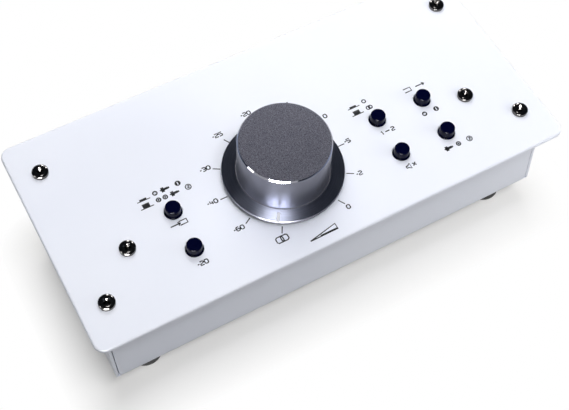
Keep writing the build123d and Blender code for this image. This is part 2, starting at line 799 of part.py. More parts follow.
# ---- small jacks: auxiliary input and output ---------------------------------------------------
for use, x in aux_places.items():
    with BuildPart() as aux_jack:
        with BuildSketch(rear_inner):
            with Locations((x, aux_z)):
                Rectangle(aux_width, aux_height)
        extrude(amount=aux_depth)
        with BuildSketch(rear_inner):
            with Locations((x, aux_z)):
                Circle(aux_bushing_radius)
        extrude(amount=-wall - aux_bushing_reach)
        chamfer(aux_jack.faces().sort_by(Axis.Y)[-1].edges(), length=bushing_bevel)
        with BuildSketch(rear_face.offset(-aux_bushing_reach)):
            with Locations((x, aux_z)):
                Circle(aux_bore_radius)
        extrude(amount=aux_bushing_reach + aux_bore_depth, mode=Mode.SUBTRACT)
    keep(aux_jack, f"aux_{use}_jack")

aux_points = [(x, aux_z) for x in aux_places.values()]
aux_nuts = rings(
    rear_face, aux_points, aux_nut_radius, -aux_nut_height, aux_bushing_radius + thread_clearance
)
keep(aux_nuts, "aux_nuts")

# ---- phono inputs: a double housing, two metal shells and their coloured insulators ------------
with BuildPart() as rca_housing:
    with BuildSketch(rear_inner):
        with Locations((rca_x, (main_board_top + rca_heights[1] + rca_head) / 2)):
            Rectangle(rca_width, rca_heights[1] + rca_head - main_board_top)
    extrude(amount=rca_depth)
    fillet(rca_housing.edges().filter_by(Axis.Y).group_by(Axis.Z)[-1], radius=rca_round)
    with BuildSketch(rear_inner):
        with Locations(*[(rca_x, z) for z in rca_heights]):
            Circle(rca_collar_radius)
    extrude(amount=-wall)
    with BuildSketch(rear_face):
        with Locations(*[(rca_x, z) for z in rca_heights]):
            Circle(rca_bore_radius)
    extrude(amount=wall + rca_bore_depth - rca_insulator_setback, mode=Mode.SUBTRACT)
keep(rca_housing, "rca_housing")

rca_points = [(rca_x, z) for z in rca_heights]
rca_sleeve = rca_shell_radius - rca_shell_wall
rca_shells = rings(rear_face, rca_points, rca_shell_radius, -rca_shell_reach, rca_sleeve)
keep(rca_shells, "rca_shells")
rca_insulator_reach = rca_shell_reach - rca_insulator_setback
for colour, point in zip(("red", "white"), rca_points):
    insulator = rings(
        rear_face, [point], rca_sleeve - thread_clearance, -rca_insulator_reach, rca_bore_radius
    )
    keep(insulator, f"rca_insulator_{colour}")

# ---- ribbon cable from the control board's header to the main board's --------------------------
with BuildPart() as ribbon_headers:
    with BuildSketch(control_board_under):
        with Locations((ribbon_x, control_header_y)):
            Rectangle(header_length, header_width)
    extrude(amount=-header_height)
    with BuildSketch(Plane.XY.offset(main_board_top)):
        with Locations((ribbon_x, main_header_y)):
            Rectangle(header_length, header_width)
    extrude(amount=header_height)
keep(ribbon_headers, "ribbon_headers")

upper_local = Vector(0, control_header_y, -header_height - ribbon_end_gap)
upper_end = control_board_under.from_local_coords(upper_local)
lower_end = Vector(0, main_header_y, main_board_top + header_height)
ribbon_low = main_board_top + 2 * ribbon_thickness
ribbon_high = lower_end.Z + 2 * ribbon_bend
ribbon_turn_y = main_board_front - ribbon_bend
with BuildPart() as ribbon_cable:
    with BuildSketch(Plane.YZ.offset(ribbon_x - ribbon_width / 2)):
        with BuildLine():
            FilletPolyline(
                (upper_end.Y, upper_end.Z),
                (upper_end.Y, ribbon_low),
                (ribbon_turn_y, ribbon_low),
                (ribbon_turn_y, ribbon_high),
                (lower_end.Y, ribbon_high),
                (lower_end.Y, lower_end.Z),
                radius=ribbon_bend,
            )
        trace(line_width=ribbon_thickness)
    extrude(amount=ribbon_width)
keep(ribbon_cable, "ribbon_cable")
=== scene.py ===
import bpy
import json
from math import cos, hypot, pi, radians, sin, tan
from mathutils import Matrix, Vector


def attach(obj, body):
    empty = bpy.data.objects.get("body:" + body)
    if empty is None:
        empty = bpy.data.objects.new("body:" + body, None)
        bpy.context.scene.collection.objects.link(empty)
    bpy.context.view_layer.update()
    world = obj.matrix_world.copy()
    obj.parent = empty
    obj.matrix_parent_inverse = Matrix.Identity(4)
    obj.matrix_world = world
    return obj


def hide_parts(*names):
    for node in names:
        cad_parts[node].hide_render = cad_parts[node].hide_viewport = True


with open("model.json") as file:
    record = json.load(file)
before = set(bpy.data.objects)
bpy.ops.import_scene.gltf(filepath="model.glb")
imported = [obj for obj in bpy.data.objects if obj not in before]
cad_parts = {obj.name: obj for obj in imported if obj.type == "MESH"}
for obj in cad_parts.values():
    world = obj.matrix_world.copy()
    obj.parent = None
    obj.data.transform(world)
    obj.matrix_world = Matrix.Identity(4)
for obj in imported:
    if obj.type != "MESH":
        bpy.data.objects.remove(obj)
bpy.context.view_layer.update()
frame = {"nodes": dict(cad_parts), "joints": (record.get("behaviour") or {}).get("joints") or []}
nodes = frame["nodes"]
mm = 0.001

# ---- Case and top plate -------------------------------------------------------------------------
# Sheet steel, laser cut, folded and powder coated white.  The plate is a flat sheet that overhangs
# the folded tray all round.  The coat is satin, with the faint ripple that powder leaves as it flows.


def linear(code):
    """Red, green, blue and alpha, linear, of an sRGB hex colour."""
    parts = [int(code[i:i + 2], 16) / 255 for i in (0, 2, 4)]
    return [c / 12.92 if c <= 0.04045 else ((c + 0.055) / 1.055) ** 2.4 for c in parts] + [1.0]


def put(tree, kind, settings=(), links=()):
    """Add a node.  A setting is a socket, by name or number, or else a property of the node."""
    made = tree.nodes.new(kind)
    for key, value in dict(settings).items():
        if isinstance(key, int) or key in made.inputs:
            made.inputs[key].default_value = value
        else:
            setattr(made, key, value)
    for key, source in dict(links).items():
        tree.links.new(source.outputs[0] if hasattr(source, "outputs") else source, made.inputs[key])
    return made


def blank(name):
    """A material with an empty node tree."""
    made = bpy.data.materials.new(name)
    made.use_nodes = True
    made.node_tree.nodes.clear()
    return made


def wear(finish, *names):
    """Give CAD nodes their finish."""
    for name in names:
        nodes[name].data.materials.clear()
        nodes[name].data.materials.append(finish)


# Polyester powder coat over steel: even white with a touch of blue, satin, ripple about 1.4 mm.
powder_coat = blank("powder_coat_white")
tree = powder_coat.node_tree
ripple_pitch = 1.4 * mm
ripple_depth = 0.02 * mm
drift_pitch = 60 * mm
place = put(tree, "ShaderNodeTexCoord").outputs["Object"]
ripple = put(tree, "ShaderNodeTexNoise", {"Scale": 1 / ripple_pitch, "Detail": 2.0}, {"Vector": place})
drift = put(tree, "ShaderNodeTexNoise", {"Scale": 1 / drift_pitch, "Detail": 1.0}, {"Vector": place})
whites = {"data_type": "RGBA", 6: linear("E6EAF7"), 7: linear("EEF1FA")}
tint = put(tree, "ShaderNodeMix", whites, {"Factor": drift}).outputs[2]
satin = put(tree, "ShaderNodeMapRange", {3: 0.36, 4: 0.46}, {0: ripple})
relief = put(tree, "ShaderNodeBump", {"Strength": 0.12, "Distance": ripple_depth}, {"Height": ripple})
looks = {"Base Color": tint, "Roughness": satin, "Normal": relief}
coat = put(tree, "ShaderNodeBsdfPrincipled", {"IOR": 1.5}, looks)
put(tree, "ShaderNodeOutputMaterial", links={"Surface": coat})
wear(powder_coat, "case_tray", "top_plate")

# The plate's own axes: x to the right, y up the slope and z square to it, from its centre.
level_joint = next(joint for joint in frame["joints"] if joint["name"] == "level_turn")
knob_x = -8.3
knob_y = -12.0
plate_up = Vector(level_joint["axis"])
plate_back = plate_up.cross(Vector((1, 0, 0)))
knob_centre = Vector(level_joint["pos_m"])
plate_centre = knob_centre - plate_back * (knob_y * mm) - Vector((knob_x * mm, 0, 0))
plate_turn = Matrix(((1, 0, 0), (0, plate_back.y, plate_up.y), (0, plate_back.z, plate_up.z))).to_4x4()
plate_frame = Matrix.Translation(plate_centre) @ plate_turn
knob_frame = Matrix.Translation(knob_centre) @ plate_turn

# ---- Screws -------------------------------------------------------------------------------------
# M3 pan heads in nickel-plated steel, cold headed: a low dome with a rolled edge and a tapered
# cross recess.  They hold the plate, the feet, the boards and the connector flanges.
corner_steps = 6
weld_reach = 0.0005


def added(operator, **options):
    """The primitive that an operator adds, selected alone."""
    bpy.ops.object.select_all(action="DESELECT")
    operator(**options)
    return bpy.context.object


def turned(name, profile, steps=64):
    """Turn a closed profile round Z.  A point is (radius, height) or (radius, height, round), in mm."""
    path = []
    for i, (radius, height, *rest) in enumerate(profile):
        corner = Vector((radius, 0, height))
        if not rest:
            path.append(corner)
            continue
        before = (Vector((profile[i - 1][0], 0, profile[i - 1][1])) - corner).normalized()
        after = (Vector((profile[i + 1][0], 0, profile[i + 1][1])) - corner).normalized()
        half = before.angle(after) / 2
        middle = corner + (before + after).normalized() * rest[0] / sin(half)
        start = (corner + before * rest[0] / tan(half) - middle).normalized()
        end = (corner + after * rest[0] / tan(half) - middle).normalized()
        path += [middle + start.slerp(end, step / corner_steps) * rest[0] for step in range(corner_steps + 1)]
    piece = added(bpy.ops.mesh.primitive_plane_add, size=1.0)
    piece.name = name
    bpy.ops.object.mode_set(mode="EDIT")
    bpy.ops.mesh.merge(type="CENTER")
    bpy.ops.transform.translate(value=path[0])
    for here, there in zip(path, path[1:]):
        bpy.ops.mesh.extrude_vertices_move(TRANSFORM_OT_translate={"value": there - here})
    bpy.ops.mesh.select_all(action="SELECT")
    bpy.ops.mesh.spin(steps=steps, angle=2 * pi, center=(0, 0, 0), axis=(0, 0, 1))
    bpy.ops.mesh.select_all(action="SELECT")
    bpy.ops.mesh.remove_doubles(threshold=weld_reach)
    bpy.ops.mesh.normals_make_consistent(inside=False)
    bpy.ops.object.mode_set(mode="OBJECT")
    return piece


def cut(piece, *cutters):
    """Take the cutters out of the piece."""
    for cutter in cutters:
        step = piece.modifiers.new("cut", "BOOLEAN")
        step.operation = "DIFFERENCE"
        step.solver = "EXACT"
        step.object = cutter
        bpy.context.view_layer.objects.active = piece
        bpy.ops.object.modifier_apply(modifier=step.name)
        bpy.data.objects.remove(cutter)


def smooth(piece, angle=30):
    """Shade smooth across edges that turn by less than the angle."""
    bpy.ops.object.select_all(action="DESELECT")
    piece.select_set(True)
    bpy.context.view_layer.objects.active = piece
    bpy.ops.object.shade_smooth_by_angle(angle=radians(angle))


def copy_of(piece, name):
    """Another of the same piece, with a mesh of its own."""
    made = piece.copy()
    made.data = piece.data.copy()
    made.name = name
    bpy.context.scene.collection.objects.link(made)
    return made


def seat(piece, where):
    """Put a piece that was made upright at the origin, in mm, where it belongs, in its mesh."""
    piece.data.transform(where @ Matrix.Scale(mm, 4))


def shift(x, y, z):
    """A move given in millimetres."""
    return Matrix.Translation(Vector((x, y, z)) * mm)


def stations(node, reach, axes=Matrix()):
    """Middle of each solid of a CAD node along the given axes, in mm.

    Points nearer than the reach to a solid's first point belong to that solid.
    """
    inward = axes.inverted()
    groups = []
    for vertex in nodes[node].data.vertices:
        point = inward @ vertex.co / mm
        group = next((g for g in groups if (g[0] - point).length < reach), None)
        if group is None:
            groups.append([point])
        else:
            group.append(point)
    return [(Vector(map(min, zip(*g))) + Vector(map(max, zip(*g)))) / 2 for g in groups]


def grained(name, low, high, pitch, shine, depth, settings=()):
    """A finish whose colour, roughness and relief follow one grain.  Pitch and depth are in mm."""
    made = blank(name)
    tree = made.node_tree
    place = put(tree, "ShaderNodeTexCoord").outputs["Object"]
    grain = put(tree, "ShaderNodeTexNoise", {"Scale": 1 / (pitch * mm), "Detail": 3.0}, {"Vector": place})
    colours = {"data_type": "RGBA", 6: linear(low), 7: linear(high)}
    tint = put(tree, "ShaderNodeMix", colours, {"Factor": grain}).outputs[2]
    polish = put(tree, "ShaderNodeMapRange", {3: shine[0], 4: shine[1]}, {0: grain})
    relief = put(tree, "ShaderNodeBump", {"Strength": 0.5, "Distance": depth * mm}, {"Height": grain})
    looks = {"Base Color": tint, "Roughness": polish, "Normal": relief}
    shader = put(tree, "ShaderNodeBsdfPrincipled", settings, looks)
    put(tree, "ShaderNodeOutputMaterial", links={"Surface": shader})
    return made


# Nickel plate over cold-headed steel, barrel polished: a grey mirror, slightly uneven.
nickel = grained("nickel_plated_steel", "5A5857", "6C6A68", 1.2, (0.1, 0.18), 0.004, {"Metallic": 1.0})

head_radius = 3.3
head_height = 2.0
head_edge = 0.15
shank_radius = 1.5
tip_chamfer = 0.4
crown_fall = 0.6
crown_power = 6
crown_rings = 12
recess_span = 6.1
recess_width = 1.15
recess_depth = 1.5
recess_foot = 0.5
recess_mouth = 1.1


def pan_screw(name, length):
    """A pan-head screw that stands on its seat at height 0."""
    shares = [step / crown_rings for step in range(crown_rings)]
    profile = [(head_radius * share, head_height - crown_fall * share**crown_power) for share in shares]
    profile += [
        (head_radius, head_height - crown_fall, head_edge),
        (head_radius, 0, head_edge),
        (shank_radius, 0),
        (shank_radius, -length + tip_chamfer),
        (shank_radius - tip_chamfer, -length),
        (0, -length),
    ]
    piece = turned(name, profile)
    blades = []
    for angle in (0, 90):
        blade = added(bpy.ops.mesh.primitive_cube_add, size=1.0)
        blade.scale = (recess_span, recess_width, 2 * recess_depth)
        bpy.ops.object.transform_apply(scale=True)
        for corner in blade.data.vertices:
            if corner.co.z < 0:
                corner.co.x *= recess_foot / recess_span
                corner.co.y *= recess_foot / recess_width
        blade.matrix_world = Matrix.Translation((0, 0, head_height)) @ Matrix.Rotation(radians(angle), 4, "Z")
        blades.append(blade)
    mouth = {"radius1": 0, "radius2": 2 * recess_mouth, "depth": 2 * recess_mouth}
    flare = added(bpy.ops.mesh.primitive_cone_add, vertices=48, **mouth)
    flare.location.z = head_height
    cut(piece, *blades, flare)
    smooth(piece, 35)
    return piece


# CAD node, axes of its screws, their length, and the heights in the case between which they lie
screw_rows = [
    ("plate_screws", plate_frame, 8.0, 0, 99),
    ("foot_screws", Matrix.Rotation(pi, 4, "X"), 10.0, 0, 99),
    ("connector_screws", Matrix.Rotation(-pi / 2, 4, "X"), 6.0, 0, 99),
    ("board_screws", plate_turn @ Matrix.Rotation(pi, 4, "X"), 6.0, 30, 99),
    ("board_screws", Matrix(), 4.0, 0, 30),
    ("pillar_screws", Matrix.Rotation(pi, 4, "X"), 4.0, 0, 99),
]
# how far round each screw stopped when it was tight
screw_turns = (12, 47, 68, 25, 81, 55)
screw_reach = 12
made_screws = 0
for node, axes, length, lowest, highest in screw_rows:
    model = pan_screw("screw_model", length)
    for x, y, z in stations(node, screw_reach, axes):
        middle = axes @ (Vector((x, y, z)) * mm)
        if not lowest < middle.z / mm < highest:
            continue
        made_screws += 1
        screw = copy_of(model, f"{node[:-1]}_{made_screws}")
        turn = Matrix.Rotation(radians(screw_turns[made_screws % len(screw_turns)]), 4, "Z")
        seat(screw, axes @ shift(x, y, z + (length - head_height) / 2) @ turn)
        screw.data.materials.append(nickel)
        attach(screw, "case")
        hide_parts(node)
    bpy.data.objects.remove(model)

# ---- Rubber feet --------------------------------------------------------------------------------
# Four tapered bumpers, compression moulded in black rubber, with a rounded tread and a deep recess
# for the screw that holds each one up against the case.
foot_top = 9.6
foot_radius = 8.0
foot_flank = (6.75, 1.2)
tread_outer = 6.0
tread_inner = 5.2
step_outer = 4.9
step_height = 0.35
recess_radius = 4.2
recess_top = 4.6
foot_bore = 1.75
foot_profile = [
    (foot_bore, foot_top),
    (foot_radius, foot_top, 0.3),
    (*foot_flank, 0.6),
    (tread_outer, 0, 0.5),
    (tread_inner, 0, 0.3),
    (step_outer, step_height, 0.2),
    (recess_radius, step_height, 0.25),
    (recess_radius, recess_top, 0.3),
    (foot_bore, recess_top),
    (foot_bore, foot_top),
]
foot_reach = 20
# Moulded black rubber: matt, with a fine eraser-like grain and a grey bloom.
rubber = grained("moulded_black_rubber", "161617", "232324", 0.5, (0.62, 0.8), 0.02, {"IOR": 1.5})
foot_model = turned("foot_model", foot_profile)
smooth(foot_model, 40)
for number, (x, y, _) in enumerate(stations("rubber_feet", foot_reach), 1):
    foot = copy_of(foot_model, f"rubber_foot_{number}")
    seat(foot, shift(x, y, 0))
    foot.data.materials.append(rubber)
    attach(foot, "case")
    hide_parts("rubber_feet")
bpy.data.objects.remove(foot_model)

# ---- Boards, cable and hardware inside the case -------------------------------------------------
# Two glass-epoxy boards with green solder mask, one hung from the plate and one on pillars, joined
# by a ribbon cable in two box headers.  Nuts, spacers and pillars are bright zinc-plated steel.

# Zinc plate over steel: a cool grey metal with a soft, cloudy sheen.
zinc = grained("zinc_plated_steel", "A9ADB0", "C2C4BE", 3.0, (0.28, 0.42), 0.006, {"Metallic": 1.0})
wear(zinc, "clinch_nuts", "hanging_spacers", "main_board_pillars", "knob_grub_screw")

# Green solder mask over copper: a semi-gloss lacquer, with lighter tracks running along the board.
mask = blank("solder_mask_green")
tree = mask.node_tree
track_pitch = 2.54 * mm
track_gap = 0.35 * mm
track_length = 9 * track_pitch
weave_pitch = 0.6 * mm
weave_depth = 0.03 * mm
place = put(tree, "ShaderNodeTexCoord").outputs["Object"]
tracks = put(
    tree,
    "ShaderNodeTexBrick",
    {
        "Scale": 1.0,
        "Color1": linear("1C6B3C"),
        "Color2": linear("237A46"),
        "Mortar": linear("0F4A2A"),
        "Mortar Size": track_gap,
        "Brick Width": track_length,
        "Row Height": track_pitch,
    },
    {"Vector": place},
)
weave = put(tree, "ShaderNodeTexNoise", {"Scale": 1 / weave_pitch, "Detail": 1.0}, {"Vector": place})
relief = put(tree, "ShaderNodeBump", {"Strength": 0.4, "Distance": weave_depth}, {"Height": weave})
gloss = {"Roughness": 0.3, "IOR": 1.55}
lacquer = put(tree, "ShaderNodeBsdfPrincipled", gloss, {"Base Color": tracks, "Normal": relief})
put(tree, "ShaderNodeOutputMaterial", links={"Surface": lacquer})
wear(mask, "control_board", "main_board")

# Grey PVC ribbon: a row of round conductors 1.27 mm apart, moulded side by side, with painted shade in its
# grooves.
ribbon = blank("ribbon_cable_vinyl")
tree = ribbon.node_tree
conductor_pitch = 1.27 * mm
conductor_relief = 0.3 * mm
place = put(tree, "ShaderNodeTexCoord").outputs["Object"]
rows = put(
    tree,
    "ShaderNodeTexWave",
    {"bands_direction": "X", "Scale": pi / 10 / conductor_pitch, "Detail": 0.0},
    {"Vector": place},
)
# painted shade: the grey darkens in the grooves and lightens on the crests, in step with the relief
greys = {"data_type": "RGBA", 6: linear("77787A"), 7: linear("A3A4A5")}
tint = put(tree, "ShaderNodeMix", greys, {"Factor": rows}).outputs[2]
relief = put(tree, "ShaderNodeBump", {"Strength": 1.0, "Distance": conductor_relief}, {"Height": rows})
gloss = {"Roughness": 0.45, "IOR": 1.53}
vinyl = put(tree, "ShaderNodeBsdfPrincipled", gloss, {"Base Color": tint, "Normal": relief})
put(tree, "ShaderNodeOutputMaterial", links={"Surface": vinyl})
wear(ribbon, "ribbon_cable")

# ---- Connectors along the back ------------------------------------------------------------------
# Bought-in parts: glass-filled nylon bodies, die-cast latches, nickel or gold-flashed contacts.
# Flanged ones are screwed to the wall, jacks are held by a nut and phono sockets by their housing.

# Glass-filled nylon, black: matt, with fibres that show as a faint lighter grain.
nylon = grained("glass_filled_nylon", "121213", "1D1D1F", 0.25, (0.42, 0.6), 0.01, {"IOR": 1.53})
wear(
    nylon,
    "combo_jack_left",
    "combo_jack_right",
    "xlr_inserts",
    "trs_output_left",
    "trs_output_right",
    "aux_input_jack",
    "aux_output_jack",
    "rca_housing",
    "ribbon_headers",
)
# Satin nickel over die-cast zinc: soft and slightly warm.
satin_nickel = grained("satin_nickel", "A8A49C", "BBB7AE", 0.4, (0.26, 0.36), 0.004, {"Metallic": 1.0})
wear(
    satin_nickel,
    "xlr_output_left",
    "xlr_output_right",
    "combo_latch_left",
    "combo_latch_right",
    "trs_nuts",
    "trs_washers",
    "aux_nuts",
    "rca_shells",
)
# Gold-flashed brass pins: warm, drawn and bright.
brass = grained("gold_flashed_brass", "C89B4A", "DDB868", 0.8, (0.2, 0.3), 0.003, {"Metallic": 1.0})
wear(brass, "xlr_output_pins")
# Moulded insulators: glossy red for the right channel, white for the left.
red_plastic = grained("moulded_red_plastic", "A11418", "B51A1E", 1.0, (0.25, 0.35), 0.004, {"IOR": 1.49})
wear(red_plastic, "rca_insulator_red")
white_plastic = grained("moulded_white_plastic", "DEDCD4", "E8E6DF", 1.0, (0.25, 0.35), 0.004, {"IOR": 1.49})
wear(white_plastic, "rca_insulator_white")

# ---- Push-buttons -------------------------------------------------------------------------------
# Round caps moulded in black ABS with a rolled edge, a slight dish and a collar under the plate.
# Each is pressed on the square plunger of a latching switch.
cap_radius = 3.1
cap_top = 3.8
cap_edge = 0.55
cap_dish = ((0, 0.16), (1.3, 0.13), (2.2, 0.04))
cap_reach = 30
collar_radius = 3.5
collar_top = -0.3
cap_bottom = -6.5
socket_width = 3.1
socket_top = 0.5
cap_profile = [(radius, cap_top - fall) for radius, fall in cap_dish]
cap_profile += [
    (cap_radius, cap_top, cap_edge),
    (cap_radius, collar_top, 0.15),
    (collar_radius, collar_top, 0.12),
    (collar_radius, cap_bottom),
    (0, cap_bottom),
]
# Black ABS, moulded and semi-gloss: a blue-black with a soft sheen.
sheen = {"IOR": 1.5, "Specular IOR Level": 0.09}
cap_plastic = grained("moulded_black_abs", "00011C", "020526", 0.7, (0.1, 0.14), 0.003, sheen)
cap_model = turned("cap_model", cap_profile)
socket = added(bpy.ops.mesh.primitive_cube_add, size=1.0)
socket.scale = (socket_width, socket_width, 2 * (socket_top - cap_bottom))
socket.location.z = cap_bottom
cut(cap_model, socket)
smooth(cap_model, 35)
buttons = ("input", "dim", "select", "mute", "output_a", "output_b")
for button in buttons:
    x, y, _ = stations(f"{button}_button_cap", cap_reach, plate_frame)[0]
    cap = copy_of(cap_model, f"{button}_cap")
    seat(cap, plate_frame @ shift(x, y, 0))
    cap.data.materials.append(cap_plastic)
    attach(cap, f"{button}_button")
    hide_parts(f"{button}_button_cap")
bpy.data.objects.remove(cap_model)
# Switch bodies: dark grey PBT, matt from the mould.
pbt = grained("moulded_dark_pbt", "2A2B2E", "35363A", 0.5, (0.4, 0.55), 0.006, {"IOR": 1.57})
# Switch plungers: natural acetal, off-white and waxy.
acetal = grained("natural_acetal", "D9D8D0", "E4E3DC", 0.8, (0.3, 0.4), 0.004, {"IOR": 1.48})
for button in buttons:
    wear(pbt, f"{button}_switch_body")
    wear(acetal, f"{button}_switch_plunger")

# ---- Volume potentiometer -----------------------------------------------------------------------
# A sealed body under the plate, a threaded bushing through it with washer and nut, and a steel
# shaft that the knob's grub screw bites on.
wear(pbt, "pot_body")
wear(zinc, "pot_bushing", "pot_washer", "pot_nut", "pot_shaft")

# ---- Level knob ---------------------------------------------------------------------------------
# Turned from aluminium bar: a barrel that spreads a little at its foot, on a skirt with a groove in
# its rim.  The top is blasted, the edge round it cut bright, and the pointer engraved and filled.
knob_top = 21.68
knob_edge = 0.5
barrel_top_radius = 18.5
# height on the barrel, and how far it has spread there
barrel_spread = ((12.0, 0), (9.0, 0.04), (6.0, 0.11), (4.2, 0.2))
barrel_foot_radius = 18.8
barrel_foot = 3.1
foot_groove_depth = 0.15
skirt_inner_radius = 19.1
skirt_inner_height = 2.85
skirt_radius = 24.65
skirt_edge = 0.18
skirt_edge_height = 2.6
rim_middle = 1.8
rim_bottom = 1.3
rim_groove_half = 0.15
rim_groove_depth = 0.25
relief_radius = 22.45
relief_top = 1.6
nut_room_radius = 7.7
nut_room_top = 5.2
bore_radius = 3.05
bore_top = 18.4
knob_profile = [
    (0, knob_top),
    (barrel_top_radius - knob_edge, knob_top, 0.05),
    (barrel_top_radius, knob_top - knob_edge, 0.12),
    *[(barrel_top_radius + spread, height) for height, spread in barrel_spread],
    (barrel_foot_radius, barrel_foot),
    (barrel_foot_radius + 0.05, skirt_inner_height - foot_groove_depth),
    (skirt_inner_radius, skirt_inner_height - foot_groove_depth),
    (skirt_inner_radius + 0.1, skirt_inner_height),
    (skirt_radius - skirt_edge, skirt_edge_height, 0.05),
    (skirt_radius, skirt_edge_height - skirt_edge, 0.05),
    (skirt_radius, rim_middle + rim_groove_half, 0.03),
    (skirt_radius - rim_groove_depth, rim_middle, 0.05),
    (skirt_radius, rim_middle - rim_groove_half, 0.03),
    (skirt_radius, rim_bottom, 0.12),
    (relief_radius, rim_bottom, 0.1),
    (relief_radius, relief_top, 0.1),
    (nut_room_radius, relief_top, 0.1),
    (nut_room_radius, nut_room_top, 0.2),
    (bore_radius, nut_room_top),
    (bore_radius, bore_top),
    (0, bore_top),
]
knob_steps = 192
pointer_turn = 236.3
pointer_width = 1.3
pointer_inner = 20.45
pointer_depth = 0.25
pointer_floor = skirt_edge_height - pointer_depth
cutter_height = 2.0
cutter_length = 6.0
grub_height = 11.0
grub_bore = 1.55
grub_cutter_length = 20.0
grub_cutter_middle = -13.0
knob = turned("turned_level_knob", knob_profile, knob_steps)
slot_start = pointer_inner + pointer_width / 2
drill = bpy.ops.mesh.primitive_cylinder_add
slot_end = added(drill, vertices=32, radius=pointer_width / 2, depth=cutter_height)
slot_end.location = (slot_start, 0, pointer_floor + cutter_height / 2)
slot_run = added(bpy.ops.mesh.primitive_cube_add, size=1.0)
slot_run.scale = (cutter_length, pointer_width, cutter_height)
slot_run.location = (slot_start + cutter_length / 2, 0, pointer_floor + cutter_height / 2)
grub_hole = added(drill, vertices=32, radius=grub_bore, depth=grub_cutter_length)
grub_spot = Matrix.Translation((grub_cutter_middle, 0, grub_height))
grub_hole.matrix_world = grub_spot @ Matrix.Rotation(pi / 2, 4, "Y")
cut(knob, slot_end, slot_run, grub_hole)

# Bead-blasted and anodised grey: a sparkling grain of about 0.3 mm pits, without direction.
blasted = blank("blasted_anodised_aluminium")
tree = blasted.node_tree
pit_pitch = 0.32 * mm
pit_depth = 0.05 * mm
place = put(tree, "ShaderNodeTexCoord").outputs["Object"]
pits = put(tree, "ShaderNodeTexNoise", {"Scale": 1 / pit_pitch, "Detail": 1.0}, {"Vector": place})
sharp = put(tree, "ShaderNodeMapRange", {1: 0.2, 2: 0.8}, {0: pits})
greys = {"data_type": "RGBA", 6: linear("2E2E38"), 7: linear("7D7D88")}
tint = put(tree, "ShaderNodeMix", greys, {"Factor": sharp}).outputs[2]
polish = put(tree, "ShaderNodeMapRange", {3: 0.4, 4: 0.6}, {0: pits})
relief = put(tree, "ShaderNodeBump", {"Strength": 0.8, "Distance": pit_depth}, {"Height": pits})
looks = {"Base Color": tint, "Roughness": polish, "Normal": relief}
metal = put(tree, "ShaderNodeBsdfPrincipled", {"Metallic": 1.0}, looks)
put(tree, "ShaderNodeOutputMaterial", links={"Surface": metal})


ring_depth = 0.01 * mm


def lathed(name, low, high, pitch, shine, stretch, along):
    """Turned aluminium: rings a pitch apart, in mm, and a highlight drawn out across them."""
    made = blank(name)
    tree = made.node_tree
    place = put(tree, "ShaderNodeTexCoord").outputs["Object"]
    knob_axes = {"vector_type": "TEXTURE", "Location": knob_centre, "Rotation": plate_turn.to_euler()}
    centred = put(tree, "ShaderNodeMapping", knob_axes, {"Vector": place})
    parts = put(tree, "ShaderNodeSeparateXYZ", links={"Vector": centred}).outputs
    flat = put(tree, "ShaderNodeCombineXYZ", links={"X": parts["X"], "Y": parts["Y"]})
    out = put(tree, "ShaderNodeVectorMath", {"operation": "LENGTH"}, {0: flat}).outputs["Value"]
    span = put(tree, "ShaderNodeMath", {"operation": "ADD"}, {0: out, 1: parts["Z"]})
    spacing = {"noise_dimensions": "1D", "Scale": 1 / (pitch * mm)}
    rings = put(tree, "ShaderNodeTexNoise", spacing, {"W": span})
    colours = {"data_type": "RGBA", 6: linear(low), 7: linear(high)}
    tint = put(tree, "ShaderNodeMix", colours, {"Factor": rings}).outputs[2]
    relief = put(tree, "ShaderNodeBump", {"Strength": 0.3, "Distance": ring_depth}, {"Height": rings})
    if along == "out":
        outward = put(tree, "ShaderNodeVectorMath", {"operation": "NORMALIZE"}, {0: flat})
        plate_axes = {"vector_type": "VECTOR", "Rotation": plate_turn.to_euler()}
        grain = put(tree, "ShaderNodeMapping", plate_axes, {"Vector": outward})
    else:
        grain = put(tree, "ShaderNodeCombineXYZ", {"X": plate_up.x, "Y": plate_up.y, "Z": plate_up.z})
    tangent = put(
        tree,
        "ShaderNodeVectorTransform",
        {"vector_type": "VECTOR", "convert_from": "OBJECT", "convert_to": "WORLD"},
        {"Vector": grain},
    )
    metal = {"Metallic": 1.0, "Roughness": shine, "Anisotropic": stretch}
    looks = {"Base Color": tint, "Normal": relief, "Tangent": tangent}
    shader = put(tree, "ShaderNodeBsdfPrincipled", metal, looks)
    put(tree, "ShaderNodeOutputMaterial", links={"Surface": shader})
    return made


# The barrel: fine turned, so its highlight runs up it as a soft band.
turned_barrel = lathed("fine_turned_aluminium", "6F7079", "797A83", 0.3, 0.35, 0.1, "up")
# The skirt: turned a little coarser, so that light fans out from the middle over its rings.
turned_skirt = lathed("turned_anodised_aluminium", "868A98", "A8ACBC", 0.8, 0.32, 0.9, "out")
# The top edge: cut with a diamond after blasting, a narrow mirror.
bare = {"Metallic": 1.0}
bright_edge = grained("diamond_cut_aluminium", "A4A4AC", "B4B4BC", 2.0, (0.05, 0.08), 0.001, bare)
# The inside, bored and left as machined: dull grey.
inner_metal = grained("bored_aluminium", "6E6E74", "7E7E84", 0.6, (0.4, 0.5), 0.004, bare)
# White enamel in the pointer: clean and half matt.
pointer_paint = grained("pointer_enamel_white", "EDEDF0", "F6F6F8", 0.6, (0.35, 0.45), 0.004, {"IOR": 1.5})
knob_finishes = (turned_skirt, blasted, bright_edge, turned_barrel, inner_metal, pointer_paint)
for finish in knob_finishes:
    knob.data.materials.append(finish)
top_face, edge_face, barrel_face, inner_face, paint_face = range(1, len(knob_finishes))
# how near a face's middle is to the surface, or the corner, that it belongs to, in mm
hair = 0.02
margin = 0.05
rim_reach = rim_groove_depth + margin
